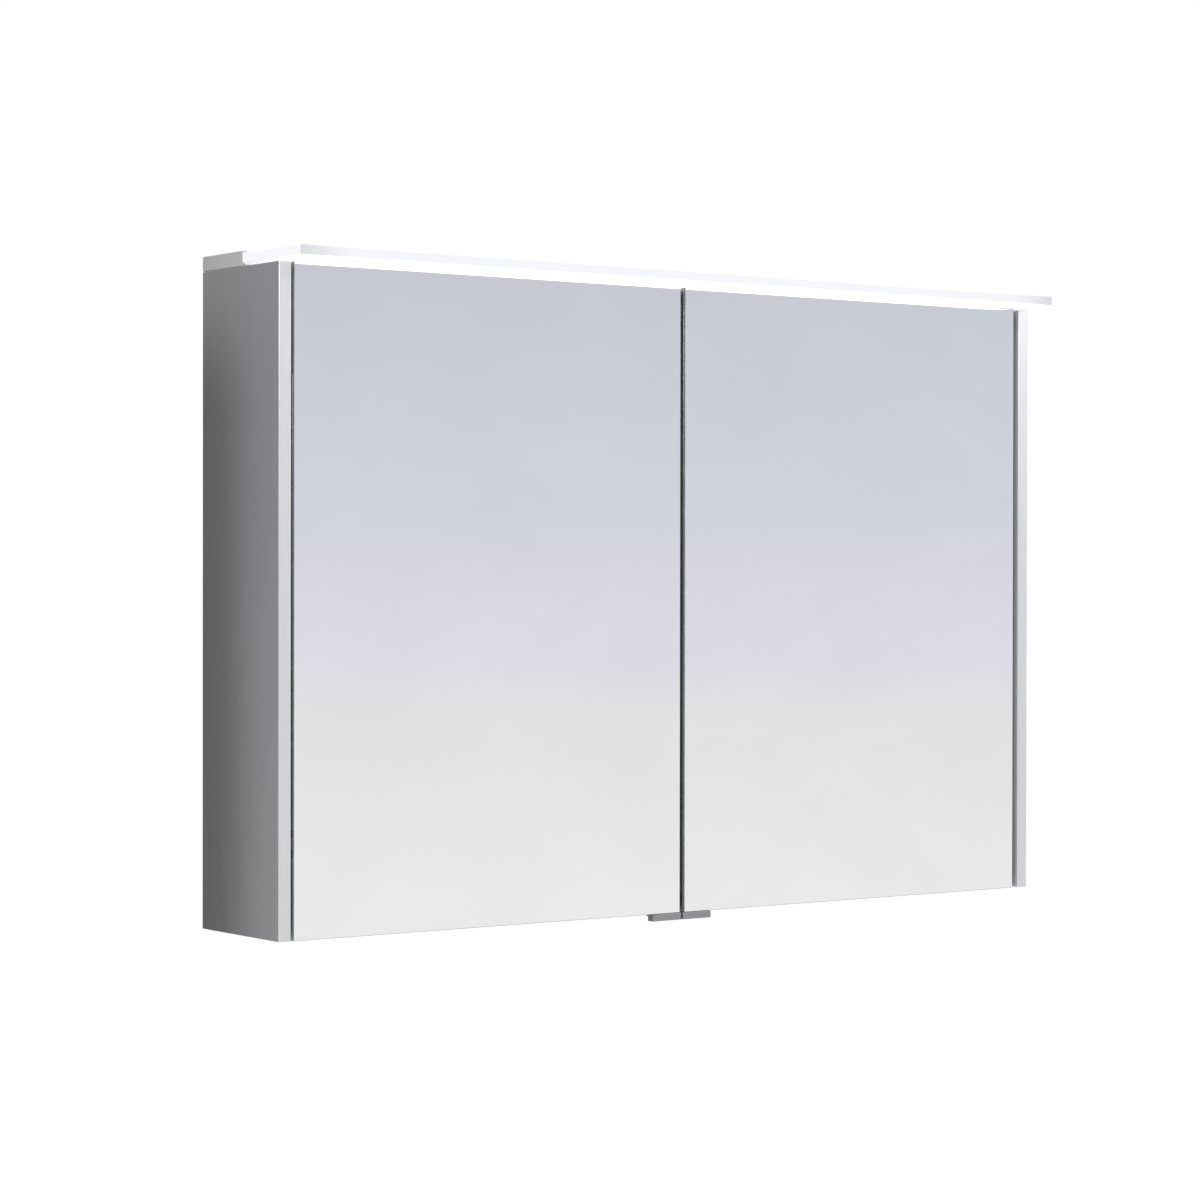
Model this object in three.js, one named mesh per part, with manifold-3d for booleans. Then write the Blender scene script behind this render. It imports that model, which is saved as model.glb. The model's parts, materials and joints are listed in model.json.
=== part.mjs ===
// Wall-hung mirror cabinet with two double-mirrored doors and an edge-lit light panel on top.
// Millimetres, +Z up, doors facing -Y, the wall at y = 0. The origin is the centre of the wall rail's
// back face, which is where the cabinet is held.
import * as THREE from "three";
import { mergeVertices } from "three/addons/utils/BufferGeometryUtils.js";
import Module from "manifold-3d";

// ---- driving dimensions -------------------------------------------------------------------------

const WIDTH = 1000; // over the side panels
const HEIGHT = 667; // of the body, without the light
const DEPTH = 152; // of the side panels, from the wall
const BOARD = 14; // panel thickness of the body
const HANG_HEIGHT = 600; // from the underside up to the wall rail's middle
const FIT = 0.3; // clearance between neighbouring pieces
const OVERSHOOT = 1; // how far a cut runs past the face it opens

const BACK_SPACE = 16; // hollow behind the back panel, where the wall rail sits
const BACK_THICK = 4;

const DOOR_GAP = 5; // between a door and its side panel
const CENTRE_GAP = 6; // between the doors
const DOOR_RECESS = 3; // door face behind the side panels' front edges
const MIRROR = 3; // glass thickness, outside and inside mirror alike
const DOOR_CORE = 12;
const FRAME_BAR = 18; // width of the aluminium bars round the core
const DOOR_OVER_BOTTOM = 0.5; // how far the doors reach past the body's underside and top
const DOOR_OVER_TOP = 0.8;
const DOOR_BACK_CLEAR = 2; // between the closed door and the body

const INNER_MIRROR_INSET = 1.5; // from the door's edges

const HANDLE_LENGTH = 38;
const HANDLE_OVERHANG = 2; // past the door's free edge
const HANDLE_DEPTH = 11.5;
const HANDLE_DROP = 7.4; // grip lip below the door
const HANDLE_PLATE = 2.5;
const HANDLE_LIP = 9;

const HINGE_END_OFFSET = 95; // hinge centre from the body's top and bottom
const PIVOT_IN = 3.5; // hinge axis from the door's outer edge
const PIVOT_BACK = 6.5; // hinge axis behind the door's face
const PIN_R = 1.5;
const PIN_BORE_R = 1.8;
const EYE_R = 3.2;
const EYE_HEIGHT = 14;
const LUG_HEIGHT = 6;
const LUG_ROOT = 8; // overlap of each lug's foot on the leaf
const ARM_HALF_WIDTH = 2;
const ARM_BEHIND_DOOR = 1.5;
const ARM_JOG = 3.5;
const ARM_PLATE = [43, 2.5, 40]; // length along y, thickness, height
const LEAF_PLATE = [32, 2.5, 44]; // width along x, thickness, height
const HINGE_STRIP = 40.5; // bare strip of the door's back, beside the inner mirror

const SHELF_THICK = 5;
const SHELF_DEPTH = 95;
const SHELF_END_CLEAR = 2.5;
const SHELF_BACK_CLEAR = 2;
const SHELF_LEVELS = { lower: 227, upper: 440 }; // undersides, above the body's underside
const RAIL_REACH = 11;
const RAIL_WALL = 1.8;
const RAIL_LENGTH = 91;
const RAIL_SETBACK = 2; // rail's rear end in front of the shelf's

const LIGHT_HEIGHT = 15;
const LIGHT_HOUSING_DEPTH = 80;
const LIGHT_DEPTH = 192.5; // wall to the light panel's front edge
const LIGHT_WALL = 1.5;
const LIGHT_PANEL = 10.4;
const LIGHT_PANEL_LIFT = 1.3; // panel over the housing's floor
const LIGHT_PANEL_INSERT = 16;
const LED_RIB_Y = 58;
const LED_RIB_CLEAR = 2; // rib's top under the housing's roof
const LED_BOARD = [980, 1.5, 10];
const LED_LIFT = 1; // board over the housing's floor
const DRIVER = [180, 38, 9];
const DRIVER_OFFSET = -40; // of its middle, from the lead that comes up into it
const END_CAP = 3;

const WALL_RAIL_LENGTH = 760;
const WALL_RAIL_HALF = 20;
const STEEL = 2.5;
const HANGER_WIDTH = 60;
const HANGER_X = 330;
const SCREW_SLOT = [24, 7];
const SCREW_SLOT_X = [110, 240];
const LIP_OUT = 9.5; // front of the rail's upstanding lip, from the wall
const LIP_TOP = 32;
const HANGER_LOW = -15; // lower end of the hanger's plate
const TAB_CLEAR = 2; // hanger's tab over the rail's foot
const SPACER = { x: 430, height: 60, r: 10 };

const BOX = [110, 36, 60]; // switch and socket box
const BOX_MARGIN = [10, 12]; // from the side panel, from the top panel
const ROCKER = [20, 28]; // width, height of its face
const ROCKER_TILT = THREE.MathUtils.degToRad(6);
const ROCKER_OFFSET = 33; // from the box's middle
const ROCKER_AXIS = 5; // behind the box's face
const ROCKER_RIM = 2.5; // rocker's ends in front of the box's face
const ROCKER_DIP = 1.5; // hollow of its face
const ROCKER_BACK = 2; // rocker's rear, behind its axis
const ROCKER_SHOULDER = 1; // rear of its ends, in front of its axis
const ROCKER_KEEL = 5; // half height of its rear
const POCKET = { depth: 14, clear: 1.3 };
const SOCKET_OFFSET = -24;
const SOCKET_R = 21.2;
const SOCKET_WALL = 1.5;
const SOCKET_DEPTH = 18;
const SOCKET_FLOOR = 3;
const SOCKET_CLEAR = 0.4;
const CONTACT = { x: 9.5, r: 2.5 };
const LEAD_R = 3;
const LEAD_HOLE_R = 4.5;
const LEAD_Y = -38;
const GLAND = { bore: 4, neck: 9.6, flange: 13, flangeThick: 2 };
const GLAND_HOLE_R = 10;

const BUFFER = { x: 30, r: 4 };

// ---- places worked out from them ----------------------------------------------------------------

const BOTTOM = -HANG_HEIGHT;
const TOP = BOTTOM + HEIGHT;
const HALF = WIDTH / 2;
const INNER_HALF = HALF - BOARD;
const DOOR_FACE = -DEPTH + DOOR_RECESS;
const DOOR_BACK = DOOR_FACE + 2 * MIRROR + DOOR_CORE;
const FRAME_BACK = DOOR_BACK - MIRROR;
const BODY_FRONT = DOOR_BACK + DOOR_BACK_CLEAR;
const BACK_FRONT = -BACK_SPACE - BACK_THICK;
const DOOR_WIDTH = INNER_HALF - DOOR_GAP - CENTRE_GAP / 2;
const DOOR_LOW = BOTTOM - DOOR_OVER_BOTTOM;
const DOOR_HIGH = TOP + DOOR_OVER_TOP;
const PIVOT_X = INNER_HALF - DOOR_GAP - PIVOT_IN; // distance of the hinge axis from the middle
const PIVOT_Y = DOOR_FACE + PIVOT_BACK;
const HINGES = { lower: BOTTOM + HINGE_END_OFFSET, upper: TOP - HINGE_END_OFFSET };
const SIDES = { left: -1, right: 1 };
const LIGHT_BASE = TOP + FIT;
const BOX_X = INNER_HALF - BOX_MARGIN[0] - BOX[0] / 2;
const BOX_Z = TOP - BOARD - BOX_MARGIN[1] - BOX[2] / 2;
const BOX_FACE = BACK_FRONT - FIT - BOX[1];
const SOCKET_X = BOX_X + SOCKET_OFFSET;
const ROCKER_X = BOX_X + ROCKER_OFFSET;
const ROCKER_Y = BOX_FACE + ROCKER_AXIS;

// ---- materials ----------------------------------------------------------------------------------

const finish = (color, roughness, metalness, more = {}) =>
  new THREE.MeshStandardMaterial({ color, roughness, metalness, ...more });

const MATERIALS = {
  bodyAluminium: () => finish(0x8a8c8e, 0.42, 0.85),
  insideBoard: () => finish(0xd9dadb, 0.55, 0.1),
  doorFrame: () => finish(0xb4b6b8, 0.38, 0.9),
  doorCore: () => finish(0xb4b6b8, 0.6, 0),
  mirror: () => finish(0xd3d6dd, 0.04, 1),
  shelfGlass: () => finish(0xd5ebe4, 0.05, 0, { transparent: true, opacity: 0.35 }),
  acrylic: () => finish(0xf8faff, 0.25, 0, { emissive: 0xffffff, emissiveIntensity: 0.8 }),
  lightAluminium: () => finish(0xa8a8a6, 0.4, 0.9),
  capPlastic: () => finish(0xb4b4b2, 0.5, 0),
  grip: () => finish(0x9c9c9c, 0.35, 0.9),
  steel: () => finish(0xb0b2b4, 0.32, 1),
  whitePlastic: () => finish(0xf1f1ee, 0.45, 0),
  board: () => finish(0xf6f6f0, 0.6, 0),
  rubber: () => finish(0x3a3a3a, 0.8, 0),
  clearBuffer: () => finish(0xdadada, 0.3, 0),
};

// ---- geometry helpers ---------------------------------------------------------------------------

const wasm = await Module();
wasm.setup();

// A box between two corners; each axis is given as [from, to], in either order.
function block(x, y, z) {
  const spans = [x, y, z];
  const sizes = spans.map(([a, b]) => Math.abs(b - a));
  const middles = spans.map(([a, b]) => (a + b) / 2);
  return new THREE.BoxGeometry(...sizes).translate(...middles);
}

function outline(points) {
  return new THREE.Shape(points.map(([u, v]) => new THREE.Vector2(u, v)));
}

function rectangle(from, to, low, high) {
  const [left, right] = [Math.min(from, to), Math.max(from, to)];
  return outline([
    [left, low],
    [right, low],
    [right, high],
    [left, high],
  ]);
}

// A (y, z) profile drawn along x, centred on x = 0.
function drawnAlongX(points, length) {
  const axes = [new THREE.Vector3(0, 1, 0), new THREE.Vector3(0, 0, 1), new THREE.Vector3(1, 0, 0)];
  return new THREE.ExtrudeGeometry(outline(points), { depth: length, bevelEnabled: false })
    .translate(0, 0, -length / 2)
    .applyMatrix4(new THREE.Matrix4().makeBasis(...axes));
}

// An (x, z) shape drawn forwards, from y = 0 to y = -length.
function drawnForwards(shape, length) {
  return new THREE.ExtrudeGeometry(shape, { depth: length, bevelEnabled: false }).rotateX(Math.PI / 2);
}

const rodAlongY = (r, length, sides = 24) => new THREE.CylinderGeometry(r, r, length, sides);
const rodAlongZ = (r, length, sides = 16) => rodAlongY(r, length, sides).rotateX(Math.PI / 2);

function toSolid(geometry) {
  const bare = geometry.clone();
  bare.deleteAttribute("normal");
  bare.deleteAttribute("uv");
  const merged = mergeVertices(bare, 1e-4);
  const vertProperties = merged.attributes.position.array;
  const triVerts = new Uint32Array(merged.index.array);
  return new wasm.Manifold(new wasm.Mesh({ numProp: 3, vertProperties, triVerts }));
}

function toGeometry(solid) {
  const mesh = solid.getMesh();
  const geometry = new THREE.BufferGeometry();
  geometry.setAttribute("position", new THREE.BufferAttribute(mesh.vertProperties.slice(), 3));
  geometry.setIndex(new THREE.BufferAttribute(mesh.triVerts.slice(), 1));
  geometry.computeVertexNormals();
  return geometry;
}

function joined(...geometries) {
  return toGeometry(geometries.map(toSolid).reduce((whole, more) => whole.add(more)));
}

function cut(geometry, ...tools) {
  return toGeometry(tools.map(toSolid).reduce((rest, tool) => rest.subtract(tool), toSolid(geometry)));
}

function piece(group, name, geometry, material, position = [0, 0, 0]) {
  const mesh = new THREE.Mesh(geometry, MATERIALS[material]());
  mesh.name = name;
  mesh.position.set(...position);
  group.add(mesh);
}

function groupAt(parent, position = [0, 0, 0]) {
  const group = new THREE.Group();
  group.position.set(...position);
  parent.add(group);
  return group;
}

// ---- body ---------------------------------------------------------------------------------------

function addBody(cabinet) {
  const body = groupAt(cabinet);
  for (const [side, sign] of Object.entries(SIDES)) {
    const panel = block([sign * INNER_HALF, sign * HALF], [-DEPTH, 0], [BOTTOM, TOP]);
    piece(body, `side_panel_${side}`, panel, "bodyAluminium");
  }

  const between = [-INNER_HALF + FIT, INNER_HALF - FIT];
  const leadHole = rodAlongZ(LEAD_HOLE_R, 3 * BOARD).translate(BOX_X, LEAD_Y, TOP - BOARD / 2);
  const top = cut(block(between, [BODY_FRONT, 0], [TOP - BOARD, TOP]), leadHole);
  piece(body, "top_panel", top, "bodyAluminium");
  const bottom = block(between, [BODY_FRONT, 0], [BOTTOM, BOTTOM + BOARD]);
  piece(body, "bottom_panel", bottom, "bodyAluminium");

  const inside = [BOTTOM + BOARD + FIT, TOP - BOARD - FIT];
  const glandHole = rodAlongY(GLAND_HOLE_R, 3 * BACK_THICK).translate(BOX_X, -BACK_SPACE, BOX_Z);
  const back = cut(block(between, [BACK_FRONT, -BACK_SPACE], inside), glandHole);
  piece(body, "back_panel", back, "insideBoard");
  const partition = block([-BOARD / 2, BOARD / 2], [BODY_FRONT, BACK_FRONT - FIT], inside);
  piece(body, "centre_partition", partition, "insideBoard");
}

// ---- wall fixing --------------------------------------------------------------------------------

// A Z-shaped rail: flat on the wall, with a lip standing off it that the hangers hook over.
function wallRail() {
  const profile = [
    [0, -WALL_RAIL_HALF],
    [0, WALL_RAIL_HALF],
    [-LIP_OUT + STEEL, WALL_RAIL_HALF],
    [-LIP_OUT + STEEL, LIP_TOP],
    [-LIP_OUT, LIP_TOP],
    [-LIP_OUT, WALL_RAIL_HALF - STEEL],
    [-STEEL, WALL_RAIL_HALF - STEEL],
    [-STEEL, -WALL_RAIL_HALF],
  ];
  const [length, height] = SCREW_SLOT;
  const slots = SCREW_SLOT_X.flatMap((x) => [-x, x]).map((x) =>
    block([x - length / 2, x + length / 2], [-4 * STEEL, STEEL], [-height / 2, height / 2]),
  );
  return cut(drawnAlongX(profile, WALL_RAIL_LENGTH), ...slots);
}

// A J-shaped strap on the back panel whose tab drops in behind the rail's lip.
function hanger() {
  const plateBack = -BACK_SPACE + FIT + STEEL;
  const web = LIP_TOP + FIT;
  const tabFront = -LIP_OUT + STEEL + 2 * FIT;
  const profile = [
    [plateBack - STEEL, HANGER_LOW],
    [plateBack - STEEL, web + STEEL],
    [tabFront + STEEL, web + STEEL],
    [tabFront + STEEL, WALL_RAIL_HALF + TAB_CLEAR],
    [tabFront, WALL_RAIL_HALF + TAB_CLEAR],
    [tabFront, web],
    [plateBack, web],
    [plateBack, HANGER_LOW],
  ];
  return drawnAlongX(profile, HANGER_WIDTH);
}

function addWallFixing(cabinet) {
  const fixing = groupAt(cabinet);
  piece(fixing, "wall_rail", wallRail(), "steel");
  const spacerLength = BACK_SPACE - FIT;
  for (const [side, sign] of Object.entries(SIDES)) {
    piece(fixing, `hanger_${side}`, hanger(), "steel", [sign * HANGER_X, 0, 0]);
    const place = [sign * SPACER.x, -spacerLength / 2, BOTTOM + SPACER.height];
    piece(fixing, `wall_spacer_${side}`, rodAlongY(SPACER.r, spacerLength), "rubber", place);
  }
}

// ---- shelves ------------------------------------------------------------------------------------

// A channel that grips one end of a glass shelf, reaching inwards from a panel's face.
function shelfRail(inwards) {
  const low = -FIT;
  const high = SHELF_THICK + 2 * FIT;
  const profile = [
    [FIT, low - RAIL_WALL],
    [RAIL_REACH, low - RAIL_WALL],
    [RAIL_REACH, low],
    [FIT + RAIL_WALL, low],
    [FIT + RAIL_WALL, high],
    [RAIL_REACH, high],
    [RAIL_REACH, high + RAIL_WALL],
    [FIT, high + RAIL_WALL],
  ];
  return drawnForwards(outline(profile.map(([u, v]) => [inwards * u, v])), RAIL_LENGTH);
}

function addShelves(cabinet) {
  const back = BACK_FRONT - SHELF_BACK_CLEAR;
  for (const [side, sign] of Object.entries(SIDES)) {
    for (const [level, height] of Object.entries(SHELF_LEVELS)) {
      const shelf = groupAt(cabinet, [0, back, BOTTOM + height]);
      const ends = [BOARD / 2 + SHELF_END_CLEAR, INNER_HALF - SHELF_END_CLEAR].map((x) => sign * x);
      const glass = block(ends, [-SHELF_DEPTH, 0], [0, SHELF_THICK]);
      piece(shelf, `shelf_${side}_${level}`, glass, "shelfGlass");
      const outer = [sign * INNER_HALF, -RAIL_SETBACK, 0];
      piece(shelf, `shelf_rail_${side}_${level}_outer`, shelfRail(-sign), "lightAluminium", outer);
      const inner = [(sign * BOARD) / 2, -RAIL_SETBACK, 0];
      piece(shelf, `shelf_rail_${side}_${level}_inner`, shelfRail(sign), "lightAluminium", inner);
    }
  }
}

// ---- light --------------------------------------------------------------------------------------

// A channel open to the front, with a rib inside that carries the LED board.
function lightHousing() {
  const inner = LIGHT_HEIGHT - LIGHT_WALL;
  const profile = [
    [0, 0],
    [-LIGHT_HOUSING_DEPTH, 0],
    [-LIGHT_HOUSING_DEPTH, LIGHT_WALL],
    [-LED_RIB_Y - LIGHT_WALL, LIGHT_WALL],
    [-LED_RIB_Y - LIGHT_WALL, inner - LED_RIB_CLEAR],
    [-LED_RIB_Y, inner - LED_RIB_CLEAR],
    [-LED_RIB_Y, LIGHT_WALL],
    [-LIGHT_WALL, LIGHT_WALL],
    [-LIGHT_WALL, inner],
    [-LIGHT_HOUSING_DEPTH, inner],
    [-LIGHT_HOUSING_DEPTH, LIGHT_HEIGHT],
    [0, LIGHT_HEIGHT],
  ];
  const length = 2 * (HALF - END_CAP - FIT);
  const leadHole = rodAlongZ(LEAD_HOLE_R, 3 * LIGHT_WALL).translate(BOX_X, LEAD_Y, LIGHT_WALL / 2);
  return cut(drawnAlongX(profile, length), leadHole);
}

// The acrylic panel: full width in front, and narrower where it plugs in between the end caps.
function lightPanel() {
  const shoulder = -LIGHT_HOUSING_DEPTH - FIT;
  const plug = -LIGHT_HOUSING_DEPTH + LIGHT_PANEL_INSERT;
  const neck = HALF - END_CAP - 2 * FIT;
  const right = [
    [HALF, -LIGHT_DEPTH],
    [HALF, shoulder],
    [neck, shoulder],
    [neck, plug],
  ];
  const left = right.map(([x, y]) => [-x, y]).reverse();
  const depth = LIGHT_PANEL;
  return new THREE.ExtrudeGeometry(outline([...right, ...left]), { depth, bevelEnabled: false });
}

function addLight(cabinet) {
  const light = groupAt(cabinet, [0, 0, LIGHT_BASE]);
  piece(light, "light_housing", lightHousing(), "lightAluminium");
  for (const [side, sign] of Object.entries(SIDES)) {
    const thick = [sign * (HALF - END_CAP), sign * HALF];
    const cap = block(thick, [-LIGHT_HOUSING_DEPTH, 0], [0, LIGHT_HEIGHT]);
    piece(light, `light_end_cap_${side}`, cap, "capPlastic");
  }
  piece(light, "light_panel", lightPanel(), "acrylic", [0, 0, LIGHT_WALL + LIGHT_PANEL_LIFT]);

  const [boardLength, boardThick, boardHeight] = LED_BOARD;
  const board = new THREE.BoxGeometry(boardLength, boardThick, boardHeight);
  const boardY = -LED_RIB_Y - LIGHT_WALL - FIT - boardThick / 2;
  piece(light, "led_strip", board, "board", [0, boardY, LIGHT_WALL + LED_LIFT + boardHeight / 2]);

  const driver = new THREE.BoxGeometry(...DRIVER);
  const driverPlace = [BOX_X + DRIVER_OFFSET, -LED_RIB_Y / 2, LIGHT_WALL + FIT + DRIVER[2] / 2];
  piece(light, "led_driver", driver, "whitePlastic", driverPlace);
}

// ---- switch and socket --------------------------------------------------------------------------

// A rocker with a shallow V face, drawn about its own pivot and resting tipped to one side.
function rocker() {
  const half = ROCKER[1] / 2;
  const rim = -ROCKER_AXIS - ROCKER_RIM;
  const profile = [
    [rim, half],
    [rim + ROCKER_DIP, 0],
    [rim, -half],
    [-ROCKER_SHOULDER, -half + ROCKER_SHOULDER],
    [ROCKER_BACK, -ROCKER_KEEL],
    [ROCKER_BACK, ROCKER_KEEL],
    [-ROCKER_SHOULDER, half - ROCKER_SHOULDER],
  ];
  return drawnAlongX(profile, ROCKER[0]).rotateX(-ROCKER_TILT);
}

// A round well with two contact holes in its floor, open to the front.
function socketInsert() {
  const wellR = SOCKET_R - SOCKET_WALL;
  const profile = [
    [0, 0],
    [SOCKET_R, 0],
    [SOCKET_R, SOCKET_DEPTH],
    [wellR, SOCKET_DEPTH],
    [wellR, SOCKET_FLOOR],
    [0, SOCKET_FLOOR],
  ].map(([r, y]) => new THREE.Vector2(r, y));
  const cup = new THREE.LatheGeometry(profile, 32);
  const contacts = [-CONTACT.x, CONTACT.x].map((x) =>
    rodAlongY(CONTACT.r, 3 * SOCKET_FLOOR, 12).translate(x, 0, 0),
  );
  return cut(cup, ...contacts).rotateX(Math.PI);
}

function switchBox() {
  const [width, depth, height] = BOX;
  const front = -depth;
  const pocketHalfWidth = ROCKER[0] / 2 + FIT;
  const pocketHalfHeight = ROCKER[1] / 2 + POCKET.clear;
  const pocket = block(
    [ROCKER_OFFSET - pocketHalfWidth, ROCKER_OFFSET + pocketHalfWidth],
    [front - OVERSHOOT, front + POCKET.depth],
    [-pocketHalfHeight, pocketHalfHeight],
  );
  const holeR = SOCKET_R + SOCKET_CLEAR;
  const holeLength = 2 * (SOCKET_DEPTH + FIT);
  const socketHole = rodAlongY(holeR, holeLength, 32).translate(SOCKET_OFFSET, front, 0);
  const shell = block([-width / 2, width / 2], [front, 0], [-height / 2, height / 2]);
  return cut(shell, pocket, socketHole);
}

// A rubber grommet with a flange on the wall side and a bore for the mains cable.
function cableGland() {
  const { bore, neck, flange, flangeThick } = GLAND;
  const neckLength = BACK_THICK + FIT;
  const length = neckLength + flangeThick;
  const profile = [
    [bore, 0],
    [neck, 0],
    [neck, neckLength],
    [flange, neckLength],
    [flange, length],
    [bore, length],
    [bore, 0],
  ].map(([r, y]) => new THREE.Vector2(r, y));
  return new THREE.LatheGeometry(profile, 24);
}

function addElectrics(cabinet) {
  const electrics = groupAt(cabinet, [0, 0, BOX_Z]);
  piece(electrics, "power_box", switchBox(), "whitePlastic", [BOX_X, BACK_FRONT - FIT, 0]);
  const socketY = BOX_FACE + SOCKET_DEPTH;
  piece(electrics, "socket_insert", socketInsert(), "whitePlastic", [SOCKET_X, socketY, 0]);
  piece(electrics, "switch_rocker", rocker(), "whitePlastic", [ROCKER_X, ROCKER_Y, 0]);
  piece(electrics, "cable_gland", cableGland(), "rubber", [BOX_X, BACK_FRONT, 0]);

  const leadLow = BOX[2] / 2 + FIT;
  const leadHigh = LIGHT_BASE + LIGHT_WALL - BOX_Z;
  const lead = rodAlongZ(LEAD_R, leadHigh - leadLow, 12);
  piece(electrics, "light_lead", lead, "rubber", [BOX_X, LEAD_Y, (leadLow + leadHigh) / 2]);
}

// ---- doors --------------------------------------------------------------------------------------

const NOTCH_HALF = EYE_HEIGHT / 2 + LUG_HEIGHT + 2 * FIT;
const NOTCH_IN = 4; // notch edge, inwards of the hinge axis

// The aluminium frame round the core, notched at each hinge so that the hinge arm stays clear of it.
function doorFrame(inwards) {
  const outer = -PIVOT_IN;
  const inner = DOOR_WIDTH - PIVOT_IN;
  const rim = rectangle(inwards * outer, inwards * inner, DOOR_LOW, DOOR_HIGH);
  const hole = [inwards * (outer + FRAME_BAR), inwards * (inner - FRAME_BAR)];
  rim.holes.push(rectangle(...hole, DOOR_LOW + FRAME_BAR, DOOR_HIGH - FRAME_BAR));
  const ring = drawnForwards(rim, DOOR_CORE).translate(0, FRAME_BACK - PIVOT_Y, 0);
  const notches = Object.values(HINGES).map((z) =>
    block(
      [inwards * (outer - OVERSHOOT), inwards * NOTCH_IN],
      [DOOR_FACE - PIVOT_Y, DOOR_BACK - PIVOT_Y + OVERSHOOT],
      [z - NOTCH_HALF, z + NOTCH_HALF],
    ),
  );
  return cut(ring, ...notches);
}

// A stepped grip under the door: a plate against its lower edge and a thick lip level with its face.
function handle() {
  const profile = [
    [0, 0],
    [HANDLE_DEPTH, 0],
    [HANDLE_DEPTH, -HANDLE_PLATE],
    [HANDLE_LIP, -HANDLE_PLATE],
    [HANDLE_LIP, -HANDLE_DROP],
    [0, -HANDLE_DROP],
  ];
  return drawnAlongX(profile, HANDLE_LENGTH);
}

// The half of the hinge on the body: a plate on the side panel, and an arm with an eye for the pin.
function hingeArm(inwards) {
  const panelFace = -(INNER_HALF - PIVOT_X) + FIT;
  const jogFront = DOOR_BACK + ARM_BEHIND_DOOR - PIVOT_Y;
  const jogBack = jogFront + ARM_JOG;
  const [length, thick, height] = ARM_PLATE;
  const u = (from, to) => [inwards * from, inwards * to];
  const z = [-EYE_HEIGHT / 2, EYE_HEIGHT / 2];
  const plate = block(
    u(panelFace, panelFace + thick),
    [jogFront, jogFront + length],
    [-height / 2, height / 2],
  );
  const jog = block(u(panelFace, ARM_HALF_WIDTH), [jogFront, jogBack], z);
  const arm = block(u(-ARM_HALF_WIDTH, ARM_HALF_WIDTH), [0, jogBack], z);
  const whole = joined(plate, jog, arm, rodAlongZ(EYE_R, EYE_HEIGHT, 24));
  return cut(whole, rodAlongZ(PIN_BORE_R, 2 * EYE_HEIGHT));
}

// The half of the hinge on the door: a plate on its back, and two lugs that hold the pin's ends.
function hingeLeaf(inwards) {
  const [width, thick, height] = LEAF_PLATE;
  const plateFront = FRAME_BACK + FIT - PIVOT_Y;
  const plateY = [plateFront, plateFront + thick];
  const edge = NOTCH_IN - FIT;
  const outer = -PIVOT_IN + FIT;
  const u = (from, to) => [inwards * from, inwards * to];
  const lugs = [-1, 1].flatMap((end) => {
    const z = [end * (EYE_HEIGHT / 2 + FIT), end * (EYE_HEIGHT / 2 + FIT + LUG_HEIGHT)];
    return [
      block(u(outer, edge), [-EYE_R, plateFront + thick], z),
      block(u(outer, edge + LUG_ROOT), plateY, z),
    ];
  });
  const plate = block(u(edge, edge + width), plateY, [-height / 2, height / 2]);
  return cut(joined(plate, ...lugs), rodAlongZ(PIN_BORE_R, 4 * EYE_HEIGHT));
}

function addHinge(doorGroup, side, level, height, inwards) {
  const hinge = groupAt(doorGroup, [0, 0, height]);
  piece(hinge, `hinge_arm_${side}_${level}`, hingeArm(inwards), "steel");
  piece(hinge, `hinge_leaf_${side}_${level}`, hingeLeaf(inwards), "steel");
  const pinLength = EYE_HEIGHT + 2 * (LUG_HEIGHT + FIT);
  piece(hinge, `hinge_pin_${side}_${level}`, rodAlongZ(PIN_R, pinLength), "steel");
}

// Each door is laid out about its own hinge axis; inwards is the direction of its free edge.
function addDoor(cabinet, side, sign) {
  const inwards = -sign;
  const door = groupAt(cabinet, [sign * PIVOT_X, PIVOT_Y, 0]);
  const u = (from, to) => [inwards * from, inwards * to];
  const outer = -PIVOT_IN;
  const inner = DOOR_WIDTH - PIVOT_IN;
  const face = DOOR_FACE - PIVOT_Y;
  const coreBack = FRAME_BACK - PIVOT_Y;

  const glass = block(u(outer, inner), [face, face + MIRROR - FIT], [DOOR_LOW, DOOR_HIGH]);
  piece(door, `door_mirror_${side}`, glass, "mirror");
  piece(door, `door_frame_${side}`, doorFrame(inwards), "doorFrame");
  const core = block(
    u(outer + FRAME_BAR + FIT, inner - FRAME_BAR - FIT),
    [coreBack - DOOR_CORE, coreBack],
    [DOOR_LOW + FRAME_BAR + FIT, DOOR_HIGH - FRAME_BAR - FIT],
  );
  piece(door, `door_core_${side}`, core, "doorCore");
  const innerGlass = block(
    u(outer + HINGE_STRIP, inner - INNER_MIRROR_INSET),
    [coreBack + FIT, coreBack + MIRROR],
    [DOOR_LOW + INNER_MIRROR_INSET, DOOR_HIGH - INNER_MIRROR_INSET],
  );
  piece(door, `inner_mirror_${side}`, innerGlass, "mirror");

  const handleX = inwards * (inner + HANDLE_OVERHANG - HANDLE_LENGTH / 2);
  piece(door, `handle_${side}`, handle(), "grip", [handleX, face, DOOR_LOW - FIT]);
  for (const [level, height] of Object.entries(HINGES)) {
    addHinge(door, side, level, height, inwards);
  }
}

function addBuffers(cabinet) {
  const thick = DOOR_BACK_CLEAR - 2 * FIT;
  const y = BODY_FRONT - FIT - thick / 2;
  const heights = { lower: BOTTOM + BOARD / 2, upper: TOP - BOARD / 2 };
  for (const [side, sign] of Object.entries(SIDES)) {
    for (const [level, z] of Object.entries(heights)) {
      const place = [sign * BUFFER.x, y, z];
      const buffer = rodAlongY(BUFFER.r, thick, 16);
      piece(cabinet, `door_buffer_${side}_${level}`, buffer, "clearBuffer", place);
    }
  }
}

// ---- assembly -----------------------------------------------------------------------------------

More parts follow.
